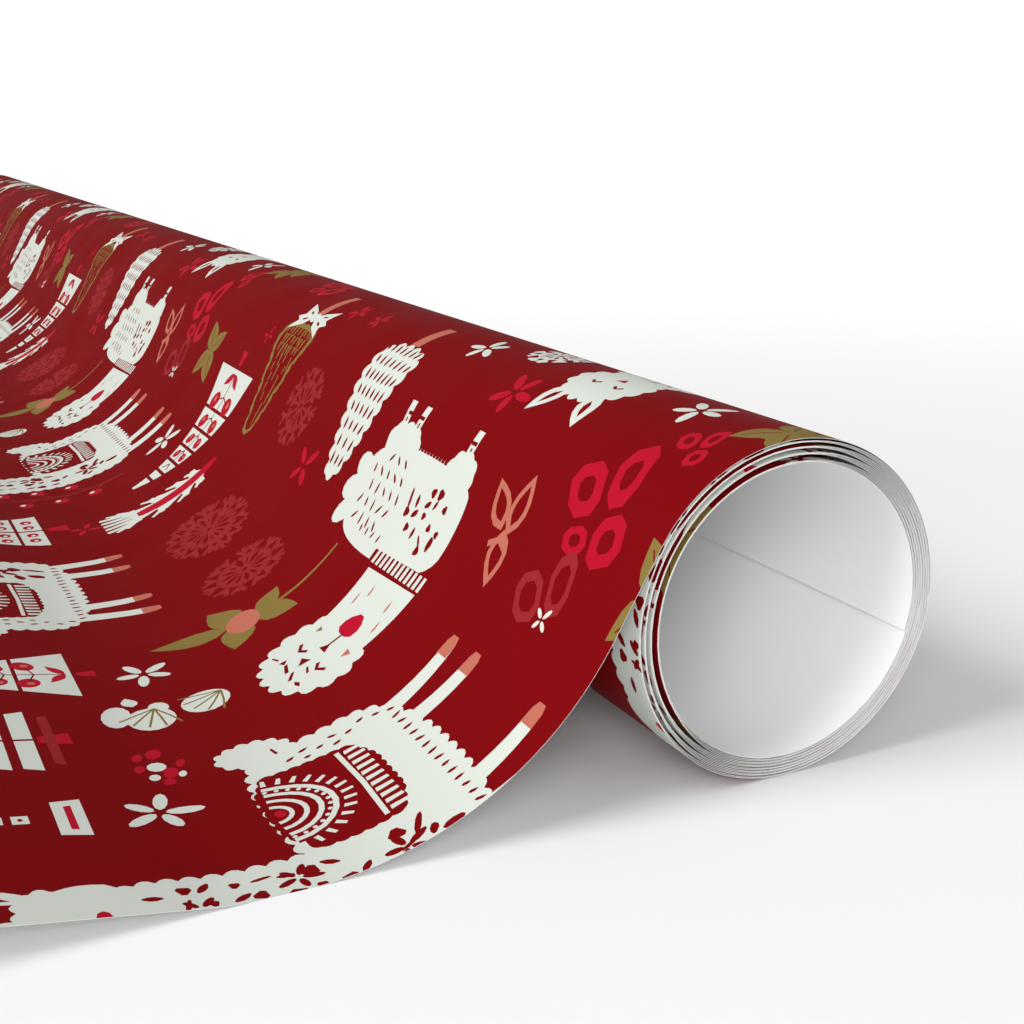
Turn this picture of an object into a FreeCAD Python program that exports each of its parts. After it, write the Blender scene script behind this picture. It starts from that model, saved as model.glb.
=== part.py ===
import FreeCAD, Part
import os
from math import acos, ceil, cos, degrees, radians, sin

# Roll of wrapping paper lying on a floor, its outer end drawn out over the top and laid to the left.
# Millimetres.  The origin is the middle of the roll's axis, which runs along +Y; +X is to the right, +Z up.
# Outlines are drawn with the floor at z = 0 and the roll's axis over x = 0, then moved into that frame.
# One web of paper is divided at lines along Y: fifteen turns, six strips of the ramp that comes down
# from the roll, the foot that touches the floor, and five strips of the sheet lying beyond it.

WEB_WIDTH = 762.0          # paper width, which is the roll's length
PAPER = 0.12               # thickness of the paper
PITCH = 0.205              # from one turn to the next, paper and the air between
ROLL_RADIUS = 23.1         # outside face of the outermost turn, from where the sheet leaves it

LEAVE_ANGLE = 150.0        # where the sheet leaves the roll, counted from +X towards +Z
INNER_EDGE_ANGLE = -16.0   # where the paper's innermost edge lies against the wall of the hollow
STEP_SWEEP = 30.0          # each turn steps down one pitch over this sweep, just past the inner edge
TURN_COUNT = 15
OUTER_SWEEP = 340.0        # sweep of the outermost turn, which leaves room for the roll to turn
CUT = 0.05                 # gap between neighbouring pieces, along the paper

RAMP_RADIUS = 46.5         # hollow curve of the ramp, and of the foot's toe
RAMP_STRIPS = 5            # curved strips, after one straight one
FOOT_LENGTH = 3.7          # part of the foot that lies flat on the floor
TOE_SWEEP = 9.4            # slope at which the sheet leaves the floor again
RISE_LENGTH = 25.0         # straight part of the sheet at that slope
ARCH_RADIUS = 260.0        # the sheet then arches over until its free edge meets the floor
LONG_STRIP = 40.0          # two long strips, one each side of where the sheet draws out
TAIL_STRIPS = 3
LONGEST_ARC = 10.0         # curved lengths are drawn as arcs no longer than this

AXIS_HEIGHT = ROLL_RADIUS - PITCH      # the underside of the outermost turn rests on the floor
HALF = PAPER / 2
OUTER_MID = ROLL_RADIUS - HALF


def clock_angle(travel):
    """Angle from +X of the point reached after so many degrees of winding inwards from the sheet."""
    return LEAVE_ANGLE - travel


def step_start(count):
    """Winding travel at which the paper passes over its own inner edge for the count-th time."""
    return LEAVE_ANGLE - INNER_EDGE_ANGLE + 360.0 * count


def mid_radius(travel):
    """Radius of the middle of the paper at a winding travel: level, with one short step every turn."""
    steps = 0.0
    for count in range(TURN_COUNT + 1):
        start = step_start(count)
        if travel >= start + STEP_SWEEP:
            steps += 1.0
        elif travel > start:
            steps += (travel - start) / STEP_SWEEP
    return OUTER_MID - PITCH * steps


def roll_point(travel, offset):
    """Point on the paper at a winding travel, offset outwards from the middle of its thickness."""
    angle = radians(clock_angle(travel))
    radius = mid_radius(travel) + offset
    return FreeCAD.Vector(radius * cos(angle), 0, AXIS_HEIGHT + radius * sin(angle))


def corner_travels(first, last):
    """Travels at which a stretch of the roll starts, steps down and ends."""
    marks = [first]
    for count in range(TURN_COUNT + 1):
        for mark in (step_start(count), step_start(count) + STEP_SWEEP):
            if first + 0.5 < mark < last - 0.5:
                marks.append(mark)
    marks.append(last)
    return marks


def roll_side(marks, offset):
    """One side of a stretch of the roll, as arcs of a circle."""
    edges = []
    for a, b in zip(marks, marks[1:]):
        middle = roll_point((a + b) / 2, offset)
        arc = Part.Arc(roll_point(a, offset), middle, roll_point(b, offset))
        edges.append(arc.toShape())
    return edges


def extruded(edges):
    """Solid of the paper's full width from the closed outline of its edge."""
    outline = Part.Wire(Part.__sortEdges__(edges))
    return Part.Face(outline).extrude(FreeCAD.Vector(0, WEB_WIDTH, 0))


def roll_piece(first, last):
    """Stretch of the roll between two winding travels."""
    marks = corner_travels(first, last)
    edges = roll_side(marks, HALF) + roll_side(marks, -HALF)
    for travel in (first, last):
        edges.append(Part.makeLine(roll_point(travel, HALF), roll_point(travel, -HALF)))
    return extruded(edges)


class Course:
    """Middle line of the paper beyond the roll, built up as straight and curved lengths."""

    def __init__(self, x, z, slope):
        self.lengths = []
        self.x, self.z, self.slope = x, z, slope
        self.total = 0.0

    def add(self, length, turn):
        """Adds a length that turns its slope by so many degrees (upwards is positive)."""
        self.lengths.append((self.total, length, self.x, self.z, self.slope, turn))
        self.x, self.z, self.slope = self.at_within(self.lengths[-1], length)
        self.total += length

    @staticmethod
    def at_within(entry, along):
        start, length, x, z, slope, turn = entry
        a0 = radians(slope)
        if not turn:
            return x - along * cos(a0), z + along * sin(a0), slope
        bend = radians(turn) / length
        a1 = a0 + bend * along
        return x - (sin(a1) - sin(a0)) / bend, z - (cos(a1) - cos(a0)) / bend, degrees(a1)

    def at(self, along):
        """Position and slope at a distance along the course."""
        for entry in reversed(self.lengths):
            if along >= entry[0]:
                return self.at_within(entry, along - entry[0])
        return self.at_within(self.lengths[0], along)

    def marks(self, first, last):
        """Distances at which a stretch of the course starts, changes its curve and ends."""
        inner = [entry[0] for entry in self.lengths if first + 0.01 < entry[0] < last - 0.01]
        return [first] + inner + [last]

    def curved(self, along):
        """Whether the course bends at a distance along it."""
        for entry in reversed(self.lengths):
            if along >= entry[0]:
                return bool(entry[5])
        return False

    def point(self, along, offset):
        """Point offset upwards from the middle of the paper."""
        x, z, slope = self.at(along)
        a = radians(slope)
        return FreeCAD.Vector(x + offset * sin(a), 0, z + offset * cos(a))


def laid_course():
    """Ramp, foot and sheet, from the roll to the free edge."""
    a = radians(LEAVE_ANGLE)
    x = OUTER_MID * cos(a)
    z = AXIS_HEIGHT + OUTER_MID * sin(a)
    slope = LEAVE_ANGLE - 90.0
    drop = RAMP_RADIUS * (1 - cos(radians(slope)))
    course = Course(x, z, -slope)
    course.add((z - HALF - drop) / sin(radians(slope)), 0.0)
    for strip in range(RAMP_STRIPS):
        course.add(RAMP_RADIUS * radians(slope) / RAMP_STRIPS, slope / RAMP_STRIPS)
    course.add(FOOT_LENGTH, 0.0)
    course.add(RAMP_RADIUS * radians(TOE_SWEEP), TOE_SWEEP)
    course.add(RISE_LENGTH, 0.0)
    top = course.z + ARCH_RADIUS * (1 - cos(radians(TOE_SWEEP)))
    fall = degrees(acos(1 - (top - HALF) / ARCH_RADIUS))
    course.add(ARCH_RADIUS * radians(TOE_SWEEP + fall), -(TOE_SWEEP + fall))
    return course


def arc_marks(course, marks):
    """The same distances, with more between them where the course is curved."""
    finer = [marks[0]]
    for a, b in zip(marks, marks[1:]):
        arcs = ceil((b - a) / LONGEST_ARC) if course.curved((a + b) / 2) else 1
        finer += [a + (b - a) * n / arcs for n in range(1, arcs + 1)]
    return finer


def course_side(course, marks, offset):
    """One side of a stretch of the laid-out paper."""
    edges = []
    for a, b in zip(marks, marks[1:]):
        p, q = course.point(a, offset), course.point(b, offset)
        if course.curved((a + b) / 2):
            edges.append(Part.Arc(p, course.point((a + b) / 2, offset), q).toShape())
        else:
            edges.append(Part.makeLine(p, q))
    return edges


def course_piece(course, first, last):
    """Stretch of the laid-out paper between two distances along it."""
    marks = arc_marks(course, course.marks(first, last))
    edges = course_side(course, marks, HALF) + course_side(course, marks, -HALF)
    for along in (first, last):
        edges.append(Part.makeLine(course.point(along, HALF), course.point(along, -HALF)))
    return extruded(edges)


def turn_limits():
    """Winding travel at which each turn starts and ends, from the outermost inwards."""
    limits = [(0.0, OUTER_SWEEP)]
    start = 360.0
    for count in range(1, TURN_COUNT - 1):
        end = step_start(count + 1) + STEP_SWEEP
        limits.append((start, end))
        start = end
    limits.append((start, step_start(TURN_COUNT)))
    return limits


def strip_limits(course):
    """Distance along the course at which each strip starts and ends."""
    ends = [entry[0] for entry in course.lengths]
    ramp = ends[:RAMP_STRIPS + 2]
    foot_end = ends[RAMP_STRIPS + 3]
    tail_start = foot_end + 2 * LONG_STRIP
    tail = (course.total - tail_start) / TAIL_STRIPS
    named = [("ramp_%d" % (n + 1), ramp[n], ramp[n + 1]) for n in range(RAMP_STRIPS + 1)]
    named.append(("foot", ramp[-1], foot_end))
    named.append(("sheet_1", foot_end, foot_end + LONG_STRIP))
    named.append(("sheet_2", foot_end + LONG_STRIP, tail_start))
    for n in range(TAIL_STRIPS):
        named.append(("sheet_%d" % (n + 3), tail_start + n * tail, tail_start + (n + 1) * tail))
    return named


def build():
    os.makedirs("parts", exist_ok=True)
    shapes = {}
    half_cut = degrees(CUT / 2 / ROLL_RADIUS)
    for n, (first, last) in enumerate(turn_limits()):
        name = "turn_%02d" % (TURN_COUNT - n)
        shapes[name] = roll_piece(first + half_cut, last - half_cut)
    course = laid_course()
    for name, first, last in strip_limits(course):
        end = last if abs(last - course.total) < 1e-6 else last - CUT / 2
        shapes[name] = course_piece(course, first + CUT / 2, end)
    to_axis = FreeCAD.Vector(0, -WEB_WIDTH / 2, -AXIS_HEIGHT)
    for name, shape in shapes.items():
        shape.translate(to_axis)
        shape.exportStep("parts/%s.step" % name)


build()
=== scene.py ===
import math
import random

import bpy
import numpy as np
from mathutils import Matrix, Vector
from mathutils.geometry import delaunay_2d_cdt


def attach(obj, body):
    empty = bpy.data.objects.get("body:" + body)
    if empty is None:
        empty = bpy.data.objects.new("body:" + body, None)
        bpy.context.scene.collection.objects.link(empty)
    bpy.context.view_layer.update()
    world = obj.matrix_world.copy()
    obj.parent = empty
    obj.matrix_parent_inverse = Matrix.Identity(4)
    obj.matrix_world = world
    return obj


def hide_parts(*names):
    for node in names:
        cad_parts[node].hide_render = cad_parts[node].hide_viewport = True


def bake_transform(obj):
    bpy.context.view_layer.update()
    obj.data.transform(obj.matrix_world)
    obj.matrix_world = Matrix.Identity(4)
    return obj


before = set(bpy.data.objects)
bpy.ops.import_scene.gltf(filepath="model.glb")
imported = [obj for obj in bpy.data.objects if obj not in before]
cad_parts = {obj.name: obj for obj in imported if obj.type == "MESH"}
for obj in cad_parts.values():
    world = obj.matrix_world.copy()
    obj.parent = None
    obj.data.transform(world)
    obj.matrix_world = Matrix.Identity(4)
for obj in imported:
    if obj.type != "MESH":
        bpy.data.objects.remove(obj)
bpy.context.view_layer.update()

MM = 0.001

# ---- the web of paper in millimetres, with the same numbers as the solids ----
WEB_WIDTH = 762.0
PAPER = 0.12
PITCH = 0.205
ROLL_RADIUS = 23.1
LEAVE_ANGLE = 150.0
INNER_EDGE_ANGLE = -16.0
STEP_SWEEP = 30.0
TURNS = 15
RAMP_RADIUS = 46.5
RAMP_STRIPS = 5
FOOT_LENGTH = 3.7
TOE_SWEEP = 9.4
RISE_LENGTH = 25.0
ARCH_RADIUS = 260.0
LONG_STRIP = 40.0
TAIL_STRIPS = 3
AXIS_HEIGHT = ROLL_RADIUS - PITCH
OUTER_MID = ROLL_RADIUS - PAPER / 2
HALF = 0.025      # half the thickness of the paper that is seen, which is thinner than the solids
BAND = 8.0        # hidden turns carry the print only this far in from the two ends


def step_start(count):
    return LEAVE_ANGLE - INNER_EDGE_ANGLE + 360.0 * count


LAST_TRAVEL = step_start(TURNS)


# Seen from the near end, the layers of paper lie in bundles with air between them on the left, and in
# pairs on the right. The outermost layer stands alone, so that it stays clear of the sheet as the roll turns.
LEFT_BUNDLES = (1, 3, 4, 4, 4)
RIGHT_BUNDLES = (1, 2, 2, 2, 2, 2, 2, 2, 1)
BUNDLE_PITCH = 0.062
# where the bundles begin and end, in degrees round the roll, anticlockwise from the right
LEFT_FROM, LEFT_TO, LEFT_EASE = 50.0, 242.0, 38.0
RIGHT_FROM, RIGHT_TO, RIGHT_EASE = -120.0, 48.0, 30.0
EDGE_LIFT, LIFT_SWEEP = 0.14, 10.0    # the innermost edge stands a little off the turn outside it


def bundle_shifts(bundles):
    """How far each layer moves outwards to lie close to its bundle; the first and the last layer stay."""
    shifts, first = [], 0
    for n, count in enumerate(bundles):
        last = first + count - 1
        if n == 0:
            held = first
        elif n == len(bundles) - 1:
            held = last
        else:
            held = (first + last) / 2
        shifts += [(PITCH - BUNDLE_PITCH) * (k - held) for k in range(first, last + 1)]
        first += count
    return shifts


LEFT_SHIFTS, RIGHT_SHIFTS = bundle_shifts(LEFT_BUNDLES), bundle_shifts(RIGHT_BUNDLES)


def ease(t):
    t = min(1.0, max(0.0, t))
    return t * t * (3 - 2 * t)


def mid_radius(travel):
    """Radius of the middle of the paper at a winding travel in degrees, counted inwards."""
    steps = 0.0
    for count in range(TURNS):
        share = (travel - step_start(count)) / STEP_SWEEP
        steps += min(1.0, max(0.0, share))
    clock = (LEAVE_ANGLE - travel) % 360.0
    from_right = (clock + 180.0) % 360.0 - 180.0
    left = ease((clock - LEFT_FROM) / LEFT_EASE) * ease((LEFT_TO - clock) / LEFT_EASE)
    right = ease((from_right - RIGHT_FROM) / RIGHT_EASE) * ease((RIGHT_TO - from_right) / RIGHT_EASE)
    layer = min(len(LEFT_SHIFTS) - 1, int((travel - LEAVE_ANGLE) // 360.0) + 1)
    lift = EDGE_LIFT * ease((travel - LAST_TRAVEL + LIFT_SWEEP) / LIFT_SWEEP)
    even = OUTER_MID - PITCH * steps
    return even + left * LEFT_SHIFTS[layer] + right * RIGHT_SHIFTS[layer] - lift


# arc length of the wound paper against winding travel
_travels = np.arange(0.0, LAST_TRAVEL + 2.0, 1.0)
_radii = np.array([mid_radius(t) for t in _travels])
_lengths = np.concatenate([[0.0], np.cumsum(np.radians(1.0) * (_radii[1:] + _radii[:-1]) / 2)])


def wound(travel):
    """Distance along the paper (negative, inwards) at a winding travel in degrees."""
    return -float(np.interp(travel, _travels, _lengths))


def course_lengths():
    """The sheet outside the roll as straight and round stretches, and its whole length.

    Each stretch is (start, length, x, z, slope, turn), with its place and slope taken where it starts.
    """
    a = math.radians(LEAVE_ANGLE)
    x, z = OUTER_MID * math.cos(a), AXIS_HEIGHT + OUTER_MID * math.sin(a)
    slope, total, out = -(LEAVE_ANGLE - 90.0), 0.0, []

    def add(length, turn):
        nonlocal x, z, slope, total
        out.append((total, length, x, z, slope, turn))
        a0 = math.radians(slope)
        if turn:
            bend = math.radians(turn) / length
            a1 = a0 + bend * length
            x -= (math.sin(a1) - math.sin(a0)) / bend
            z -= (math.cos(a1) - math.cos(a0)) / bend
            slope += turn
        else:
            x -= length * math.cos(a0)
            z += length * math.sin(a0)
        total += length

    fall0 = -slope
    drop = RAMP_RADIUS * (1 - math.cos(math.radians(fall0)))
    add((z - HALF - drop) / math.sin(math.radians(fall0)), 0.0)
    for _ in range(RAMP_STRIPS):
        add(RAMP_RADIUS * math.radians(fall0) / RAMP_STRIPS, fall0 / RAMP_STRIPS)
    add(FOOT_LENGTH, 0.0)
    add(RAMP_RADIUS * math.radians(TOE_SWEEP), TOE_SWEEP)
    add(RISE_LENGTH, 0.0)
    top = z + ARCH_RADIUS * (1 - math.cos(math.radians(TOE_SWEEP)))
    fall = math.degrees(math.acos(1 - (top - HALF) / ARCH_RADIUS))
    add(ARCH_RADIUS * math.radians(TOE_SWEEP + fall), -(TOE_SWEEP + fall))
    return out, total


COURSE, FREE_EDGE = course_lengths()


def place(u):
    """Middle of the paper and the normal of its printed side, a distance u along it: (x, z, nx, nz)."""
    if u < 0:
        travel = float(np.interp(-u, _lengths, _travels))
        a = math.radians(LEAVE_ANGLE - travel)
        r = mid_radius(travel)
        return r * math.cos(a), AXIS_HEIGHT + r * math.sin(a), math.cos(a), math.sin(a)
    start, length, x, z, slope, turn = [c for c in COURSE if u >= c[0] - 1e-9][-1]
    s, a0 = u - start, math.radians(slope)
    if not turn:
        a1 = a0
        x, z = x - s * math.cos(a0), z + s * math.sin(a0)
    else:
        bend = math.radians(turn) / length
        a1 = a0 + bend * s
        x -= (math.sin(a1) - math.sin(a0)) / bend
        z -= (math.cos(a1) - math.cos(a0)) / bend
    return x, z, math.sin(a1), math.cos(a1)


# ---- print: our own folk motifs, as flat shapes in millimetres ----
GROUND, WHITE, OLIVE, CRIMSON, TERRA, TONAL, BACK, EDGE = range(8)
TILE = 202.5


def ellipse(x, y, rx, ry, tilt=0.0, n=14):
    c, s = math.cos(tilt), math.sin(tilt)
    pts = []
    for k in range(n):
        a = 2 * math.pi * k / n
        px, py = rx * math.cos(a), ry * math.sin(a)
        pts.append((x + px * c - py * s, y + px * s + py * c))
    return pts


def leaf(x, y, length, width, angle, n=5):
    """Almond shape growing from (x, y)."""
    c, s = math.cos(angle), math.sin(angle)
    side = [(t / n, math.sin(math.pi * (t / n) ** 0.8) * width / 2) for t in range(1, n)]
    pts = [(0, 0)] + [(a * length, b) for a, b in side] + [(length, 0)]
    pts += [(a * length, -b) for a, b in reversed(side)]
    return [(x + px * c - py * s, y + px * s + py * c) for px, py in pts]


def seed(x, y, length, width, angle):
    c, s = math.cos(angle), math.sin(angle)
    raw = ((-0.5, 0), (-0.15, 0.42), (0.25, 0.5), (0.5, 0.1), (0.28, -0.45), (-0.12, -0.5))
    return [(x + a * length * c - b * width * s, y + a * length * s + b * width * c) for a, b in raw]


def stroke(points, w0, w1=None):
    """Line with a width that tapers from w0 to w1, as one outline with blunt ends."""
    w1 = w0 if w1 is None else w1
    left, right, n = [], [], len(points)
    for i, (x, y) in enumerate(points):
        ax, ay = points[max(0, i - 1)]
        bx, by = points[min(n - 1, i + 1)]
        d = math.hypot(bx - ax, by - ay) or 1.0
        w = (w0 + (w1 - w0) * i / (n - 1)) / 2
        nx, ny = -(by - ay) / d * w, (bx - ax) / d * w
        left.append((x + nx, y + ny))
        right.append((x - nx, y - ny))
    return left + right[::-1]


def smooth(points, rounds=2):
    """Rounds the corners of a closed outline."""
    for _ in range(rounds):
        out = []
        for i, (x, y) in enumerate(points):
            nx, ny = points[(i + 1) % len(points)]
            out.append((x * 0.75 + nx * 0.25, y * 0.75 + ny * 0.25))
            out.append((x * 0.25 + nx * 0.75, y * 0.25 + ny * 0.75))
        points = out
    return points


def scallop(points, size=2.4, bump=0.75):
    """Gives a closed outline a woolly edge of small bumps."""
    area = sum(a[0] * b[1] - b[0] * a[1] for a, b in zip(points, points[1:] + points[:1]))
    if area < 0:
        points = points[::-1]
    p = np.array(points + points[:1], float)
    run = np.concatenate([[0], np.cumsum(np.hypot(*(p[1:] - p[:-1]).T))])
    n = max(6, int(round(run[-1] / size)))
    marks = np.linspace(0, run[-1], n + 1)[:-1]
    q = np.stack([np.interp(marks, run, p[:, 0]), np.interp(marks, run, p[:, 1])], -1)
    out = []
    for i in range(n):
        a, b = q[i], q[(i + 1) % n]
        d = b - a
        normal = np.array([d[1], -d[0]]) / (np.hypot(*d) or 1)
        out.append(tuple(a))
        for t, h in ((0.25, 0.75), (0.5, 1.0), (0.75, 0.75)):
            out.append(tuple(a + d * t + normal * bump * h))
    return out


def inside(x, y, poly):
    hit = False
    for (x0, y0), (x1, y1) in zip(poly, poly[1:] + poly[:1]):
        if (y0 > y) != (y1 > y) and x < (x1 - x0) * (y - y0) / (y1 - y0) + x0:
            hit = not hit
    return hit


def seeds(poly, rng, gap, length, width, angle, wander):
    """Small marks scattered in rows inside an outline."""
    clear = ((0, 0), (-0.9, 0), (0.9, 0), (0, 1))
    xs, ys = [p[0] for p in poly], [p[1] for p in poly]
    out, row, y = [], 0, min(ys) + gap * 0.7
    while y < max(ys) - gap * 0.5:
        x = min(xs) + gap * (0.7 if row % 2 else 1.2)
        while x < max(xs) - gap * 0.4:
            if all(inside(x + dx, y + dy, poly) for dx, dy in clear):
                size = length * rng.uniform(0.8, 1.15)
                out.append((GROUND, seed(x, y, size, width, angle + rng.uniform(-wander, wander))))
            x += gap
        y += gap
        row += 1
    return out


def chips(poly, rng, gap, size, colour=GROUND, turn=0.3, loose=0.5):
    """Cut-paper marks of uneven shapes scattered inside an outline."""
    clear = ((1.1, 0), (-1.1, 0), (0, 1.1), (0, -1.1))
    kinds = (((-0.5, -0.3), (0.5, -0.42), (0.1, 0.5)), ((-0.6, 0), (0, 0.26), (0.6, 0.06), (0, -0.24)),
             ((-0.5, -0.4), (0.1, -0.5), (0.5, 0.3), (-0.1, 0.22)),
             ((-0.7, -0.1), (0.6, -0.2), (0.7, 0.1), (-0.5, 0.16)))
    xs, ys = [p[0] for p in poly], [p[1] for p in poly]
    out, y = [], min(ys) + gap * 0.5
    while y < max(ys) - gap * 0.3:
        x = min(xs) + gap * rng.uniform(0.4, 0.9)
        while x < max(xs) - gap * 0.3:
            px, py = x + rng.uniform(-loose, loose), y + rng.uniform(-loose, loose)
            if all(inside(px + dx, py + dy, poly) for dx, dy in clear):
                a, k = turn + rng.uniform(-0.9, 0.9), size * rng.uniform(0.7, 1.25)
                c, s = math.cos(a) * k, math.sin(a) * k
                mark = [(px + u * c - v * s, py + u * s + v * c) for u, v in rng.choice(kinds)]
                out.append((colour, smooth(mark, 1) if size > 2.4 else mark))
            x += gap * rng.uniform(0.9, 1.2)
        y += gap * 0.9
    return out


def lobe(x, y, length, width, angle, line, colour):
    """Leaf drawn as an outline only."""
    c, s = math.cos(angle), math.sin(angle)
    hollow = leaf(x + line * 1.5 * c, y + line * 1.5 * s, length - 3.2 * line, width - 2.1 * line, angle)
    return [(colour, leaf(x, y, length, width, angle)), (GROUND, hollow)]


def woolly(rng):
    """Standing long-necked woolly animal with a patterned saddle cloth; feet at the origin's height."""
    out = []
    for x, lean in ((-15.0, -1.4), (-9.5, 0.4), (10.5, -0.6), (16.6, 0.9)):
        leg = [(x - 1.7, 15), (x + 1.7, 15), (x + lean + 1.3, 1.2), (x + lean + 0.8, 0),
               (x + lean - 0.8, 0), (x + lean - 1.3, 1.2)]
        hoof = [(x + lean - 1.4, 3.4), (x + lean + 1.45, 3.4), (x + lean + 1.3, 1.1), (x + lean + 0.8, 0),
                (x + lean - 0.8, 0), (x + lean - 1.3, 1.1)]
        out += [(WHITE, leg), (TERRA, hoof)]
    body = scallop(smooth([(-19.5, 11.5), (20, 11.5), (21.5, 24), (20, 34), (-17, 36.5), (-20.5, 28)], 2),
                   2.6, 0.85)
    neck = scallop(smooth([(8.0, 24), (21.5, 22), (22.0, 44), (20.5, 60), (9.0, 60), (8.6, 44)], 2), 2.6,
                   0.85)
    tail = scallop(smooth([(-25, 30), (-19, 26), (-17, 31), (-19, 38), (-24, 37)], 2), 2.2, 0.8)
    head = smooth([(8.5, 56), (20.5, 56), (21.0, 62), (18.0, 67.0), (11.0, 67.0), (7.6, 62)], 2)
    muzzle = smooth([(17.0, 56.4), (25.5, 57.0), (27.0, 60.2), (24.8, 63), (17.5, 63.8)], 2)
    curls = scallop(smooth([(8.6, 63.0), (17.5, 63.5), (17.0, 68.6), (9.4, 68.2)], 1), 2.3, 0.8)
    out += [(WHITE, part) for part in (body, tail, neck, leaf(10.6, 66, 9.0, 2.9, 1.85),
                                       leaf(15.6, 66, 9.0, 2.9, 1.40), head, curls, muzzle)]
    out += [(GROUND, leaf(10.3, 68.6, 4.8, 1.0, 1.85, 3)), (GROUND, leaf(15.8, 68.6, 4.8, 1.0, 1.40, 3))]
    out += [(GROUND, stroke([(15.9, 62.4), (17.2, 63.1), (18.4, 62.2)], 0.8, 0.5)),
            (GROUND, seed(25.0, 61.0, 1.6, 1.1, 0.2))]
    out += [(CRIMSON, ellipse(15.4, 59.6, 1.3, 0.9, 0, 8)),
            (GROUND, stroke([(20.6, 59.4), (22.4, 58.7), (24.2, 59.1)], 0.45))]
    out += chips(smooth([(9.0, 29), (20.5, 27), (20.8, 44), (19.6, 56), (10.0, 56), (9.4, 42)], 1), rng,
                 3.4, 2.6, turn=1.2)
    out += chips(smooth([(8.6, 16.5), (19.8, 15.5), (20.2, 27), (9.2, 28)], 1), rng, 3.6, 3.0, turn=0.4)
    out += flower(5, 2.9, GROUND, 0.4, 14.6, 24.0)
    out += flower(5, 2.5, GROUND, 1.1, 12.5, 37.0)
    out += flower(4, 2.4, GROUND, 0.7, 15.4, 49.0)
    out += seeds(smooth([(-19, 14), (-14.2, 14), (-14.2, 34), (-18.6, 34)], 1), rng, 2.2, 1.5, 0.65, 1.5, 0.5)
    out += seeds(smooth([(-17.5, 12.4), (19.5, 12.0), (19.5, 16.2), (-17.5, 16.2)], 1), rng, 2.1, 1.7,
                 0.62, 1.6, 0.4)
    out += chips(smooth([(-23.6, 30), (-19, 28), (-18.4, 34), (-22.5, 36)], 1), rng, 2.2, 1.4)
    # saddle cloth: nested arches hang from the back inside rays of short stitches, above a fringe
    cloth = smooth([(-13.4, 36.2), (7.4, 35.4), (7.6, 26), (7.0, 19.2), (-12.8, 19.2), (-13.8, 27)], 1)
    out.append((GROUND, scallop(cloth, 1.9, 0.35)))
    sweep = np.linspace(0.08, math.pi - 0.08, 12)
    for r, w in ((7.3, 0.8), (5.6, 0.75), (3.9, 0.7), (2.2, 0.65)):
        arch = [(-3.1 + r * math.cos(a), 35.3 - r * 1.12 * math.sin(a)) for a in sweep]
        out.append((WHITE, stroke(arch, w)))
    for k in range(15):
        a = math.pi * (k + 0.5) / 15
        c, s = math.cos(a), math.sin(a)
        out.append((WHITE, stroke([(-3.1 + 8.2 * c, 35.0 - 8.9 * s), (-3.1 + 9.7 * c, 35.0 - 10.6 * s)],
                                  0.75, 0.55)))
        out.append((WHITE, ellipse(-3.1 + 6.45 * c, 35.2 - 7.3 * s, 0.36, 0.36, 0, 6)))
    out.append((WHITE, stroke([(-12.6, 23.3), (-3, 23.0), (6.4, 23.3)], 0.7)))
    for k in range(11):
        x = -12.2 + k * 1.72
        out.append((WHITE, [(x, 22.4), (x + 0.95, 22.5), (x + 0.8, 19.9), (x + 0.1, 20.0)]))
    out.append((CRIMSON, ellipse(-3.1, 34.3, 1.0, 0.8, 0, 8)))
    return out


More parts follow.
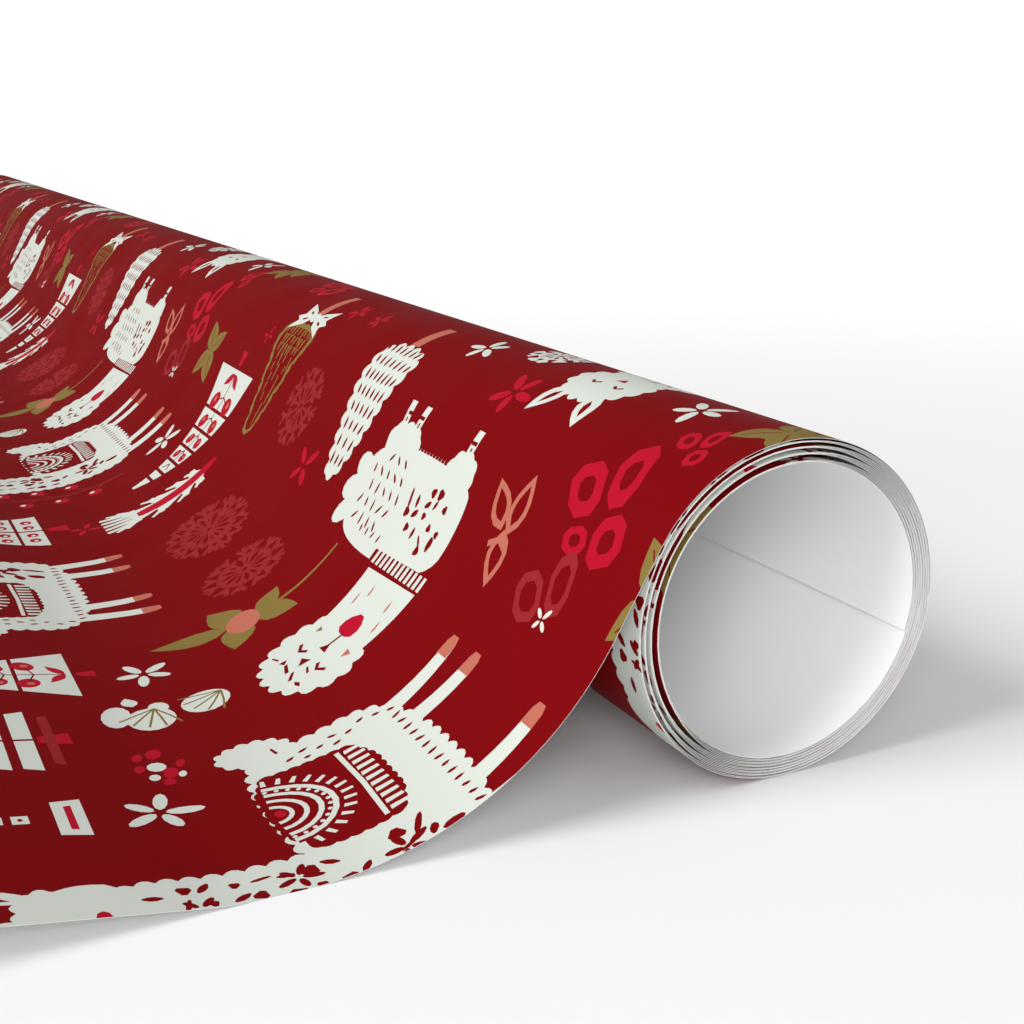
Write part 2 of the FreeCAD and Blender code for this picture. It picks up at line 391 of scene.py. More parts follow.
def resting(rng):
    """Small woolly animal with a knitted collar and its face turned to us; hooves at the origin's height."""
    out = []
    for x, lean in ((-13.5, -0.8), (-8.6, 0.6), (12.2, 0.4)):
        leg = [(x - 1.1, 6.0), (x + 1.1, 6.0), (x + lean + 1.0, 0.3), (x + lean - 1.0, 0.3)]
        out += [(WHITE, leg), (GROUND, [(x - 0.75, 2.9), (x + 1.1, 2.9), (x + 1.05, 2.2), (x - 0.8, 2.2)])]
        out.append((GROUND, stroke([(x, 5.6), (x + lean * 0.5, 3.4)], 0.5)))
    out.append((WHITE, scallop(smooth([(-17, 4.5), (-5, 4.5), (-4, 11), (-17, 11)], 2), 3.4, 0.8)))
    out.append((WHITE, scallop(smooth([(8.4, 4.5), (16.5, 4.5), (17.5, 11), (7, 11)], 2), 3.4, 0.8)))
    body = smooth([(-19, 7.5), (17.5, 7.5), (19.8, 14), (18.4, 26), (-15, 27.5), (-20, 20)], 3)
    out.append((WHITE, body))
    out += [(WHITE, [(x, 9.5), (x + 0.9, 9.5), (x + 0.5, 6.9)]) for x in np.arange(-4.0, 7.0, 1.2)]
    out += [(WHITE, ellipse(x, y, 3.4, 2.5, a, 12))
            for x, y, a in ((-19.5, 22.6, 2.3), (-21.2, 18.6, 2.9), (-20.2, 14.4, 3.6))]
    neck = [(1.0, 26), (19.2, 25), (18.6, 40), (3.0, 40)]
    out.append((WHITE, neck))
    out.append((GROUND, [(-0.4, 28.0), (20.2, 27.0), (20.0, 23.8), (-0.6, 24.8)]))
    for k in range(12):
        x = 0.6 + k * 1.62
        out.append((WHITE, [(x, 27.0 - 0.04 * k), (x + 0.95, 27.0 - 0.04 * k), (x + 0.9, 24.6 - 0.05 * k),
                            (x + 0.05, 24.6 - 0.05 * k)]))
    head = scallop(ellipse(11.2, 43.8, 9.8, 8.6, 0, 24), 3.2, 1.2)
    out.append((WHITE, head))
    out += [(GROUND, stroke([(5.6, 44.2), (7.2, 45.2), (8.6, 44.3)], 0.7)),
            (GROUND, stroke([(13.8, 44.3), (15.2, 45.2), (16.8, 44.2)], 0.7))]
    out.append((CRIMSON, smooth([(8.6, 38.8), (13.2, 38.8), (13.6, 36.2), (11.0, 33.8), (8.2, 36.2)], 1)))
    out += [(GROUND, stroke([(11.0, 41.6), (11.1, 38.4)], 0.5)),
            (GROUND, [(9.9, 42.6), (12.3, 42.6), (11.1, 40.9)])]
    out += chips(ellipse(11.2, 48.2, 7.6, 3.4, 0, 16), rng, 2.7, 1.8, turn=0.0)
    out += chips(ellipse(5.0, 40.2, 2.6, 3.0, 0, 12), rng, 2.4, 1.7, OLIVE)
    out += chips(ellipse(17.2, 40.0, 2.4, 3.0, 0, 12), rng, 2.4, 1.7, TERRA)
    out += [(TERRA, seed(x, y, 2.6, 0.5, 1.35))
            for x, y in ((5.2, 33), (7.4, 30.6), (15.0, 31.0), (16.6, 34.5))]
    out += chips(ellipse(8.2, 16.6, 9.2, 6.6, 0, 20), rng, 3.0, 2.5, turn=1.1, loose=0.8)
    out += seeds(ellipse(-9.5, 17.0, 8.8, 8.4, 0, 20), rng, 2.9, 2.5, 0.62, 1.35, 0.9)
    out += seeds(ellipse(-6.0, 24.0, 7.0, 2.4, 0, 16), rng, 2.6, 1.8, 0.55, 1.35, 0.6)
    return out


def fir(rng):
    """Fir tree in white with leaf marks in rows and a short trunk."""
    width, height, rows = 17.5, 31.0, 8
    out = [(TERRA, [(-1.6, -7.6), (1.6, -7.6), (1.7, 0.5), (-1.7, 0.5)])]
    outline = smooth([(-width / 2, 1.5), (width / 2, 1.5), (width * 0.42, 10), (width * 0.31, 19),
                      (width * 0.17, 27), (0, height), (-width * 0.17, 27), (-width * 0.31, 19),
                      (-width * 0.42, 10)], 2)
    out.append((WHITE, scallop(outline, 3.4, 1.15)))
    for k in range(rows):
        y = 2.4 + k * (height - 4.0) / rows
        half = (width / 2 - 1.1) * (1 - y / (height + 2.0)) + 0.5
        n = max(1, int(half))
        for i in range(n + 1):
            x = -half + 2 * half * i / n
            length = 2.7 * rng.uniform(0.85, 1.1)
            angle = 1.57 + x * 0.06 + rng.uniform(-0.12, 0.12)
            out.append((GROUND, seed(x, y, length, 0.85, angle)))
    return out


def line_fir(rng):
    """Fir tree in olive, its outline and strokes only, with a white bow above its trunk."""
    out = [(TERRA, [(-1.5, -15), (1.5, -15), (1.5, -5), (-1.5, -5)])]
    side = [(0, 26.0), (2.6, 24.0), (2.9, 20.5), (4.6, 18.5), (4.3, 15.0), (6.6, 12.0), (6.3, 8.5),
            (8.6, 5.5), (9.6, 1.5), (8.0, -1.6)]
    outline = side + [(-x, y) for x, y in reversed(side[1:])]
    hollow = smooth([(x * 0.86, 12 + (y - 12) * 0.93) for x, y in outline], 1)
    out += [(OLIVE, scallop(smooth(outline, 1), 2.6, 0.5)), (GROUND, hollow)]
    y = -0.6
    while y < 22:
        half = 8.2 * (1 - (y + 2) / 28.0)
        n = max(1, int(half / 0.85 * (1.0 if y < 6 else 0.62)))
        for i in range(n):
            x = -half + 2 * half * (i + rng.uniform(0.25, 0.75)) / n
            ln = rng.uniform(1.6, 3.2)
            out.append((OLIVE, stroke([(x, y), (x + rng.uniform(-0.3, 0.3), y + ln)],
                                      0.8 if y < 4 else 0.5, 0.3)))
        y += 2.3
    for sign in (-1, 1):
        loop = [(0, -4.4), (sign * 3.0, -1.6), (sign * 8.6, 0.6), (sign * 6.6, -2.2), (sign * 8.8, -3.2),
                (sign * 6.4, -4.4), (sign * 8.2, -8.0), (sign * 3.0, -6.2)]
        out += [(WHITE, loop), (GROUND, seed(sign * 4.4, -3.0, 2.6, 0.7, sign * 0.35)),
                (GROUND, seed(sign * 4.2, -5.2, 2.2, 0.6, -sign * 0.35))]
    out.append((WHITE, ellipse(0, -4.2, 1.5, 1.5, 0, 10)))
    return out


def tier_fir():
    """Fir tree of stacked blocks with berries in pairs on a stem."""
    out = [(CRIMSON, [(-0.8, -1.0), (0.8, -1.0), (1.7, -4.6), (-1.7, -4.6)])]
    cuts = [(0.0, 10.2), (11.0, 15.8), (16.6, 20.8), (21.6, 25.2), (26.0, 28.8), (29.6, 31.6), (32.4, 36.4)]

    def half(y):
        return 12.0 * (1 - y / 38.5)

    for y0, y1 in cuts:
        out.append((WHITE, [(-half(y0), y0), (half(y0), y0), (half(y1), y1), (-half(y1), y1)]))
    out.append((GROUND, stroke([(0, 1.0), (0, 25.4)], 0.35)))
    for y, r in ((8.6, 2.7), (14.0, 2.2), (19.0, 1.8), (23.6, 1.5)):
        for sign in (-1, 1):
            x = sign * half(y) * 0.5
            out += [(CRIMSON, ellipse(x, y, r * 0.95, r * 0.8, sign * 0.5, 12)),
                    (GROUND, stroke([(0, y - 1.6), (x * 0.8, y - 0.3)], 0.35))]
            out.append((TERRA, ellipse(x + sign * 0.2, y - 0.4, r * 0.3, r * 0.3, 0, 7)))
    for sign in (-1, 1):
        out += [(CRIMSON, leaf(0, 1.2, 5.6, 2.2, math.pi / 2 - sign * 0.95)),
                (GROUND, stroke([(0, 26.4), (sign * 1.6, 28.2)], 0.45))]
    return out


def sprig_ball(rng, rx, ry, arms, ink=TONAL):
    """Round head of fine twigs, a little lighter than the ground unless another ink is given."""
    out = []
    for k in range(arms):
        a = 2 * math.pi * k / arms + rng.uniform(-0.08, 0.08)
        tip = rng.uniform(0.82, 1.0)
        c, s = math.cos(a), math.sin(a)
        out.append((ink, stroke([(0.6 * c, 0.6 * s), (rx * 0.5 * c, ry * 0.5 * s),
                                 (rx * tip * c, ry * tip * s)], 0.55, 0.9)))
        for t in (0.40, 0.66):
            for sign in (-1, 1):
                b = a + sign * 0.55
                ln = 0.30 * (0.6 + 0.6 * t)
                x, y = rx * t * c, ry * t * s
                out.append((ink, stroke([(x, y), (x + rx * ln * math.cos(b), y + ry * ln * math.sin(b))],
                                        0.6, 0.95)))
    return out


def berry_sprig():
    """Olive stem with broad leaves around one round berry."""
    out = [(OLIVE, stroke([(0, -2), (0.4, 8), (0.2, 20)], 0.5, 1.0)),
           (OLIVE, leaf(-0.2, 21, 13.5, 5.0, 1.62))]
    out += [(OLIVE, leaf(0, 19, 9.5, 6.2, 2.75)), (OLIVE, leaf(0, 19, 9.5, 6.0, 0.4)),
            (OLIVE, leaf(0, 16, 8.5, 5.6, -0.8)), (OLIVE, leaf(0, 15.5, 7.0, 4.6, 4.0))]
    return out + [(TERRA, ellipse(0.2, 18.6, 3.9, 3.1, 0.3, 16))]


def flower(petals, size, colour, turn, x=0.0, y=0.0):
    """Open flower of separate rounded petals."""
    out = []
    for k in range(petals):
        a = turn + k * 2 * math.pi / petals + 0.12 * math.sin(3 * k)
        ln = size * (1.0 + 0.14 * math.cos(2 * k + 1))
        gap = 0.16 * size
        px, py = x + (gap + ln / 2) * math.cos(a), y + (gap + ln / 2) * math.sin(a)
        out.append((colour, ellipse(px, py, ln / 2, size * 0.21, a, 10)))
    return out


def leaves():
    """Four broad olive leaves with a ground-coloured rib."""
    out = []
    for a, ln, w in ((0.9, 10.5, 5.8), (2.2, 9.4, 5.2), (4.0, 9.4, 5.6), (5.5, 8.4, 5.0)):
        c, s = math.cos(a), math.sin(a)
        out.append((OLIVE, leaf(0, 0, ln, w, a)))
        out.append((GROUND, stroke([(1.5 * c, 1.5 * s), (ln * 0.8 * c, ln * 0.8 * s)], 0.3)))
    return out


def berry_branch():
    """Soft red stem with berries on both sides."""
    out = [(TONAL, stroke([(0, 0), (0.8, 12), (0.3, 24), (-1.0, 34)], 0.6, 0.9))]
    for y, side in ((8, 1), (12, -1), (16, 1), (20, -1), (24, 1), (28, -1)):
        x = side * 5.0
        out.append((TONAL, stroke([(0.4, y - 2.5), (x * 0.8, y)], 0.4)))
        out += [(CRIMSON, ellipse(x, y + 0.4, 2.0, 1.8, 0.4, 12)),
                (WHITE, ellipse(x - 0.6, y + 1.0, 0.8, 0.65, 0.4, 7))]
    return out


def branch_bow(rng):
    """White twigs on each side of a crimson stem."""
    out = []
    for side in (-1, 1):
        for y, ln, a in ((5.5, 3.4, 0.0), (8.0, 4.6, 0.5), (11.0, 5.4, 0.9), (14.0, 4.8, 0.5),
                         (17.0, 6.0, 1.2), (19.5, 6.5, 0.8)):
            ang = a if side > 0 else math.pi - a
            c, s = math.cos(ang), math.sin(ang)
            tip = (side * 1.2 + ln * c, y + ln * s)
            mx, my = side * 1.2 + ln * 0.5 * c, y + ln * 0.5 * s
            out.append((WHITE, stroke([(side * 0.8, y), (mx, my + 0.5), tip], 3.2, 1.2)))
            out.append((WHITE, stroke([(mx, my), (tip[0] + side * 0.3, tip[1] + 2.2)], 1.5, 0.8)))
    out.append((CRIMSON, smooth([(-1.3, 0), (1.5, 0), (2.2, 12), (1.4, 22), (-1.6, 22), (-1.9, 12)], 1)))
    for k in range(5):
        out.append((WHITE, stroke([(-3.2 + 1.6 * k, 20.5), (-4.6 + 2.3 * k, 28.0)], 1.7, 1.2)))
    return out


def looped(colour=TERRA, line=1.0):
    """Three plump open lobes on a short stem."""
    out = lobe(0.6, 3.0, 10.5, 6.0, 1.35, line, colour) + lobe(-0.6, 3.6, 11.0, 5.6, 3.95, line, colour)
    out += lobe(1.6, 4.0, 11.5, 5.8, 4.75, line, colour)
    return out + [(colour, stroke([(-2.6, 6.6), (0.4, 5.0), (3.4, 6.2)], line))]


def angular(colour=CRIMSON, hollow=0.52, k=1.0, parts=4):
    """Leaning open blocks with rounded corners, laid beside each other."""
    blocks = (((-10.5, -2.0), (-6.2, 4.4), (-0.4, 2.2), (-4.6, -5.0)),
              ((-3.2, -6.6), (0.2, 1.6), (4.6, -0.6), (1.8, -10.2)),
              ((0.2, 2.8), (2.0, 9.2), (8.0, 6.4), (5.6, 0.2)),
              ((-5.6, 5.4), (-3.8, 8.6), (0.8, 7.2), (-1.0, 3.8)))
    out = []
    for block in blocks[:parts]:
        mx, my = sum(q[0] for q in block) / 4, sum(q[1] for q in block) / 4
        out.append((colour, smooth([(x * k, y * k) for x, y in block], 1)))
        out.append((GROUND, smooth([((mx + (x - mx) * hollow) * k, (my + (y - my) * hollow) * k)
                                    for x, y in block], 1)))
    return out


def shell(turn=0.0):
    """Round white bauble with olive ribs that meet at one side."""
    out = [(WHITE, ellipse(0, 0, 5.6, 4.8, turn, 18))]
    bx, by = -5.2 * math.cos(turn), -5.2 * math.sin(turn)
    for k in range(5):
        a = turn + (k - 2) * 0.38
        bent = a * 0.94 + turn * 0.06
        near = (bx + 5.0 * math.cos(a), by + 5.0 * math.sin(a))
        tip = (bx + 9.2 * math.cos(bent), by + 9.2 * math.sin(bent))
        out.append((OLIVE, stroke([(bx, by), near, tip], 0.45, 0.5)))
    return out


def shell_pair():
    """White bauble with ribs beside plain white rounds."""
    out = placed([(WHITE, ellipse(0, 0, 5.2, 2.8, 0.2, 14))], -1.5, 5.0)
    out += [(WHITE, leaf(-6.0, 1.0, 4.6, 3.2, 3.0)), (WHITE, ellipse(-4.0, -3.4, 2.4, 2.0, 0, 10))]
    return out + placed(shell(0.3), 1.0, -1.0, 0.95)


def dots():
    """Loose cluster of crimson and white berries."""
    spots = ((-5, 0.4, 2.2, 1.4, CRIMSON), (-4, 3.4, 1.8, 0.9, CRIMSON), (0.4, 1.0, 1.9, 1.7, WHITE),
             (3.4, -0.8, 2.2, 1.3, CRIMSON), (4.6, 2.2, 1.3, 1.0, WHITE), (0.8, 4.0, 1.6, 0.9, CRIMSON),
             (6.8, 0.2, 1.3, 1.1, CRIMSON), (4.4, -2.6, 1.2, 0.7, WHITE), (0.0, -3.2, 1.6, 0.8, CRIMSON))
    return [(c, ellipse(x, y, rx, ry, 0.3, 10)) for x, y, rx, ry, c in spots]


def small_head(rng):
    """Woolly head and shoulders with upright ears."""
    out = [(WHITE, scallop(ellipse(0, 0, 8.6, 6.8, 0, 20), 2.8, 1.0))]
    for sign in (-1, 1):
        out += [(WHITE, leaf(sign * 3.6, 4.0, 9.0, 4.4, 1.57 - sign * 0.42)),
                (GROUND, leaf(sign * 4.4, 6.2, 4.4, 1.4, 1.57 - sign * 0.42, 3))]
        out.append((GROUND, stroke([(sign * 2.0, 0.8), (sign * 3.2, 1.6), (sign * 4.3, 0.8)], 0.6)))
    out.append((CRIMSON, [(-1.3, -1.2), (1.3, -1.2), (0, -2.8)]))
    out.append((WHITE, scallop(smooth([(-8, -4), (8, -4), (13, -15), (-13, -15)], 2), 2.8, 1.0)))
    return out + chips(smooth([(-8.0, -5.5), (8.0, -5.5), (11.0, -13.5), (-11.0, -13.5)], 1), rng, 2.8,
                       1.9, turn=1.2)


def parcel():
    """Gift block with a ribbon cross and curls."""
    out = [(WHITE, [(-11.5, 0), (11.5, 0), (9.0, 10.5), (-9.0, 10.5)]),
           (CRIMSON, [(-1.0, -1), (1.0, -1), (2.2, -5.2), (-2.2, -5.2)])]
    out += [(GROUND, [(-0.4, 0), (0.4, 0), (0.4, 10.5), (-0.4, 10.5)]),
            (GROUND, [(-10.4, 4.9), (10.4, 4.9), (10.2, 5.6), (-10.2, 5.6)])]
    for sign in (-1, 1):
        for y in (2.4, 7.9):
            for x in (3.0, 7.0):
                out += [(CRIMSON, ellipse(sign * x, y, 1.5, 1.2, 0.3, 10)),
                        (WHITE, ellipse(sign * x + 0.3, y - 0.1, 0.7, 0.45, 0.3, 7))]
    return out


def bars():
    """Small tree of plain bars."""
    out = [(CRIMSON, [(-1.0, -1), (1.0, -1), (2.0, -5.4), (-2.0, -5.4)])]
    for y, half, h, ink in ((-0.4, 10.5, 2.6, WHITE), (3.6, 10.0, 2.4, WHITE), (-3.4, 9.0, 1.4, TONAL)):
        out.append((ink, [(-half, y), (half, y), (half - 0.8, y + h), (-half + 0.8, y + h)]))
    return out + [(GROUND, stroke([(0, -0.6), (0, 6.2)], 0.6))]


def label():
    """Long white tag with a crimson slot, and small tags after it."""
    out = [(WHITE, [(-6.0, 0), (6.0, 0), (5.4, 4.4), (-5.4, 4.4)]),
           (CRIMSON, [(-4.0, 1.6), (4.0, 1.6), (3.8, 2.7), (-3.8, 2.7)])]
    for y, r in ((8.0, 1.3), (11.6, 1.2), (15.0, 1.0)):
        out += [(WHITE, [(-r, y), (r, y), (r, y + 2.4), (-r, y + 2.4)]),
                (GROUND, ellipse(0, y + 1.2, 0.5, 0.4, 0, 6))]
    return out


def placed(motif, x, y, scale=1.0, flip=False):
    """A motif scaled, mirrored left to right if flip is set, and moved to (x, y)."""
    side = -1.0 if flip else 1.0
    return [(colour, [(x + side * px * scale, y + py * scale) for px, py in pts]) for colour, pts in motif]


def tile_shapes():
    """One repeat of the print, in (across, along) millimetres, motifs upright towards +along."""
    rng = random.Random(11)
    out = []

    def put(motif, v, u, scale=1.0, flip=False):
        # seen from the printed side with +along upwards, +across (away from the near end) runs to the left
        for colour, pts in placed(motif, v, u, scale, flip):
            out.append((colour, [(2 * v - x, y) for x, y in pts]))

    put(woolly(rng), 15.5, 24)
    put(resting(rng), 68, -4)
    put(woolly(rng), 118, 54, 0.98, flip=True)
    put(fir(rng), 101, -14)
    put(line_fir(rng), 151, -7, 0.98)
    put(tier_fir(), 174, 7, 0.99)
    put(sprig_ball(rng, 8.6, 9.2, 12), 129, 7)
    put(sprig_ball(rng, 9.0, 9.0, 13), 100.5, 38)
    put(sprig_ball(rng, 12.4, 9.8, 17), 127, 37.5)
    put(berry_sprig(), 81.5, 26)
    put(flower(5, 4.0, WHITE, 0.5), 82, -19.5)
    put(flower(5, 4.2, WHITE, 1.3), 20, -22.5)
    put(flower(5, 4.2, WHITE, 0.2), 73, 63.5)
    put(flower(5, 4.6, WHITE, 0.9), 25, 72)
    put(flower(5, 4.4, WHITE, 1.6), 190, 30)
    put(leaves(), 199, 6, 0.95)
    put(berry_branch(), 188, 42, 0.95)
    put(branch_bow(rng), 156, 25.5)
    put(flower(5, 4.6, CRIMSON, 0.1), 57, -12)
    put(flower(4, 4.2, CRIMSON, 0.7), 113.5, 16.5)
    put(flower(4, 3.2, CRIMSON, 0.4), 158, 57)
    put(flower(4, 2.6, CRIMSON, 0.0), 166, -3, 0.8)
    put(looped(TERRA, 1.2), 36, 5, 0.85)
    put(angular(CRIMSON, 0.46, 1.2), 15.5, -2.5, 0.9)
    put(angular(TONAL, 0.6, 1.1, 2), 17.0, 14, 0.85)
    put(flower(4, 2.0, WHITE, 0.6), 16.5, 15.5, 0.9)
    put(angular(CRIMSON, 0.45, 1.0, 3), 9, -15, 0.5)
    put(shell_pair(), 56, 67, 0.78)
    put(shell(0.9), 58, 57.5, 0.72)
    put(dots(), 39, 68.5, 0.78)
    put(tier_fir(), 76, 74, 0.8)
    put(fir(rng), 96, 112, 0.8)
    put(bars(), 50, 84)
    put(label(), 25, 81, 0.85)
    put(parcel(), 162, 65)
    put(small_head(rng), 43, -22)
    put(sprig_ball(rng, 6.5, 6.0, 11, WHITE), 67, -26)
    put(angular(CRIMSON, 0.5), 170, -25, 0.9)
    put(leaves(), 3, -25, 0.85)
    put(flower(5, 3.0, CRIMSON, 0.2), 138, -17)
    put(flower(5, 2.6, CRIMSON, 0.9), 126, -16.5)
    put(leaves(), 201, -27, 0.8, flip=True)

    # the part of the repeat beyond what lies nearest the roll
    put(resting(rng), 11, 103, 0.9)
    put(flower(5, 4.6, WHITE, 0.9), 1, 157)
    put(resting(rng), 164, 88, 0.92)
    put(woolly(rng), 66, 114, 0.66)
    put(sprig_ball(rng, 9.0, 9.0, 13), 124, 134)
    put(sprig_ball(rng, 5.2, 5.6, 10), 192, 99)
    put(line_fir(rng), 184, 132, 0.95)
    put(berry_sprig(), 43, 98, 0.85)
    put(dots(), 108, 100)
    put(flower(5, 4.2, WHITE, 0.1), 46, 146)
    put(flower(5, 3.8, CRIMSON, 0.1), 34, 134)
    put(leaves(), 96, 142, 0.9)
    put(parcel(), 150, 154, 0.9)
    put(looped(TERRA), 112, 156, 0.8)
    put(shell(0.4), 30, 150)
    put(angular(CRIMSON, 0.5), 134, 160, 0.7)
    put(flower(5, 4.2, WHITE, 0.4), 178, 160)
    put(flower(4, 3.2, CRIMSON, 0.4), 108, 118)
    put(flower(5, 4.0, WHITE, 1.1), 146, 138, 0.9)
    return out


def flat_box(pts):
    across, along = [p[0] for p in pts], [p[1] for p in pts]
    return min(across), max(across), min(along), max(along)


SHAPES = tile_shapes()
BOXES = [flat_box(pts) for _, pts in SHAPES]
PAST_REPEAT, ALONG_REPEAT = 60, 170     # how far shapes are looked for outside the repeat they belong to
SAME_POINT = 1e-5                       # points of the cut pattern closer than this become one


def print_over(v0, v1, u0, u1):
    """Every printed shape that reaches a stretch of paper, in the order it is printed."""
    found = []
    for i in range(math.floor((v0 - PAST_REPEAT) / TILE), math.floor((v1 + PAST_REPEAT) / TILE) + 1):
        for j in range(math.floor((u0 - ALONG_REPEAT) / TILE), math.floor((u1 + PAST_REPEAT) / TILE) + 1):
            dv, du = i * TILE, j * TILE
            for (colour, pts), (a, b, c, d) in zip(SHAPES, BOXES):
                if b + dv > v0 and a + dv < v1 and d + du > u0 and c + du < u1:
                    found.append((colour, np.array(pts) + (dv, du)))
    return found


def clipped(pts, limit, below):
    """The part of an outline that lies on one side of the line across = limit."""
    out = []
    for (x0, y0), (x1, y1) in zip(pts, np.roll(pts, -1, 0)):
        first, second = (x0 <= limit) == below, (x1 <= limit) == below
        if first:
            out.append((x0, y0))
        if first != second:
            out.append((limit, y0 + (limit - x0) / (x1 - x0) * (y1 - y0)))
    return np.array(out)


def band_print(u0, u1):
    """Printed shapes near the two ends of the roll only, for paper that is hidden between its neighbours."""
    found, far_band = [], WEB_WIDTH - BAND
    for v0, v1, limit, below in ((0, BAND, BAND, True), (far_band, WEB_WIDTH, far_band, False)):
        for colour, pts in print_over(v0, v1, u0, u1):
            part = clipped(pts, limit, below)
            if len(part) > 2:
                found.append((colour, part))
    return found


def colour_at(points, shapes):
    """The colour printed at each point: that of the last shape that covers it."""
    colour = np.full(len(points), GROUND)
    order = np.argsort(points[:, 0])
    xs = points[order, 0]
    for ink, pts in shapes:
        lo, hi = np.searchsorted(xs, [pts[:, 0].min(), pts[:, 0].max()])
        some = order[lo:hi]
        some = some[(points[some, 1] > pts[:, 1].min()) & (points[some, 1] < pts[:, 1].max())]
        if not len(some):
            continue
        x, y = points[some, 0][:, None], points[some, 1][:, None]
        x0, y0 = pts[:, 0], pts[:, 1]
        x1, y1 = np.roll(x0, -1), np.roll(y0, -1)
        rise = np.where(y1 == y0, 1.0, y1 - y0)
        crossed = ((y0 > y) != (y1 > y)) & (x < (x1 - x0) * (y - y0) / rise + x0)
        colour[some[crossed.sum(1) % 2 == 1]] = ink
    return colour


def flat_print(u0, u1, knots, shapes):
    """Triangles over the paper's whole width from u0 to u1, cut along the knots, and the colour of each."""
    verts = [Vector((0, u0)), Vector((WEB_WIDTH, u0)), Vector((WEB_WIDTH, u1)), Vector((0, u1))]
    edges = [(0, 1), (1, 2), (2, 3), (3, 0)]
    for k in knots:
        edges.append((len(verts), len(verts) + 1))
        verts += [Vector((0, k)), Vector((WEB_WIDTH, k))]
    for _, pts in shapes:
        first, count = len(verts), len(pts)
        verts += [Vector(p) for p in pts]
        edges += [(first + i, first + (i + 1) % count) for i in range(count)]
    co, _, tris, _, _, _ = delaunay_2d_cdt(verts, edges, [], 0, SAME_POINT, False)
    co, tris = np.array([tuple(c) for c in co]), np.array(tris)
    middle = co[tris].mean(1)
    kept = (middle[:, 0] > 0) & (middle[:, 0] < WEB_WIDTH) & (middle[:, 1] > u0) & (middle[:, 1] < u1)
    tris, middle = tris[kept], middle[kept]
    used, tris = np.unique(tris, return_inverse=True)
    return co[used], tris.reshape(-1, 3), colour_at(middle, shapes)


def paper(name, u0, u1, step, full, nodes):
    """One stretch of paper as a closed sheet: printed face, plain back and cut edges."""
    count = max(1, round((u1 - u0) / step))
    knots = [u0 + (u1 - u0) * k / count for k in range(1, count)]
    shapes = print_over(0, WEB_WIDTH, u0, u1) if full else band_print(u0, u1)
    co, tris, inks = flat_print(u0, u1, knots, shapes)
    n = len(co)
    stations, where = np.unique(np.round(co[:, 1], 4), return_inverse=True)
    mid = np.array([place(u) for u in stations])[where]

    def face_points(offset):
        x = mid[:, 0] + offset * mid[:, 2]
        z = mid[:, 1] + offset * mid[:, 3] - AXIS_HEIGHT
        return np.stack([x, co[:, 0] - WEB_WIDTH / 2, z], -1) * MM

    sides = np.concatenate([tris[:, [0, 1]], tris[:, [1, 2]], tris[:, [2, 0]]])
    rim = sides[~np.isin(sides[:, 0] * n + sides[:, 1], sides[:, 1] * n + sides[:, 0])]
    lower_walls = np.stack([rim[:, 1], rim[:, 0], rim[:, 0] + n], -1)
    upper_walls = np.stack([rim[:, 1], rim[:, 0] + n, rim[:, 1] + n], -1)
    walls = np.concatenate([lower_walls, upper_walls])
    faces = np.concatenate([tris, tris[:, ::-1] + n, walls])
    slots = np.concatenate([inks, np.full(len(tris), BACK), np.full(len(walls), EDGE)])
    mesh = bpy.data.meshes.new(name)
    mesh.vertices.add(2 * n)
    mesh.vertices.foreach_set("co", np.concatenate([face_points(HALF), face_points(-HALF)]).ravel())
    mesh.loops.add(3 * len(faces))
    mesh.loops.foreach_set("vertex_index", faces.ravel())
    mesh.polygons.add(len(faces))
    mesh.polygons.foreach_set("loop_start", np.arange(len(faces)) * 3)
    mesh.polygons.foreach_set("material_index", slots)
    rounded = np.ones(len(faces), bool)
    rounded[2 * len(tris):] = False
    mesh.polygons.foreach_set("use_smooth", rounded)
    mesh.update(calc_edges=True)
    outward = np.stack([mid[:, 2], np.zeros(n), mid[:, 3]], -1)
    corners = 3 * len(tris)
    normals = np.zeros((3 * len(faces), 3))
    normals[:corners] = outward[tris.ravel()]
    normals[corners:2 * corners] = -outward[tris[:, ::-1].ravel()]
    mesh.normals_split_custom_set(normals.tolist())
    flat = np.concatenate([co, co])[faces.ravel()] * MM
    mesh.uv_layers.new(name="paper").data.foreach_set("uv", flat.ravel())
    for m in INKS:
        mesh.materials.append(m)
    obj = bpy.data.objects.new(name, mesh)
    bpy.context.scene.collection.objects.link(obj)
    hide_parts(*nodes)
    return obj


def spot(u):
    """The middle of the paper at a distance u along it, in metres."""
    x, z, _, _ = place(u)
    return (x * MM, 0, (z - AXIS_HEIGHT) * MM)


# ---- materials ----
FIBRE_SCALE, FIBRE_STRETCH, CLOUD_SCALE = 2600.0, 3.0, 60.0    # cycles per metre of paper
GRAIN_HEIGHT = 0.00002
NOISE_LOW, NOISE_HIGH = 0.3, 0.7        # nearly all of a noise texture's values lie between these
SMOOTHER, ROUGHER = 0.05, 0.06          # how far the roughness drifts to either side
SHEEN_ROUGHNESS = 0.4


def srgb(r, g, b):
    return tuple(((c / 255 + 0.055) / 1.055) ** 2.4 for c in (r, g, b)) + (1.0,)


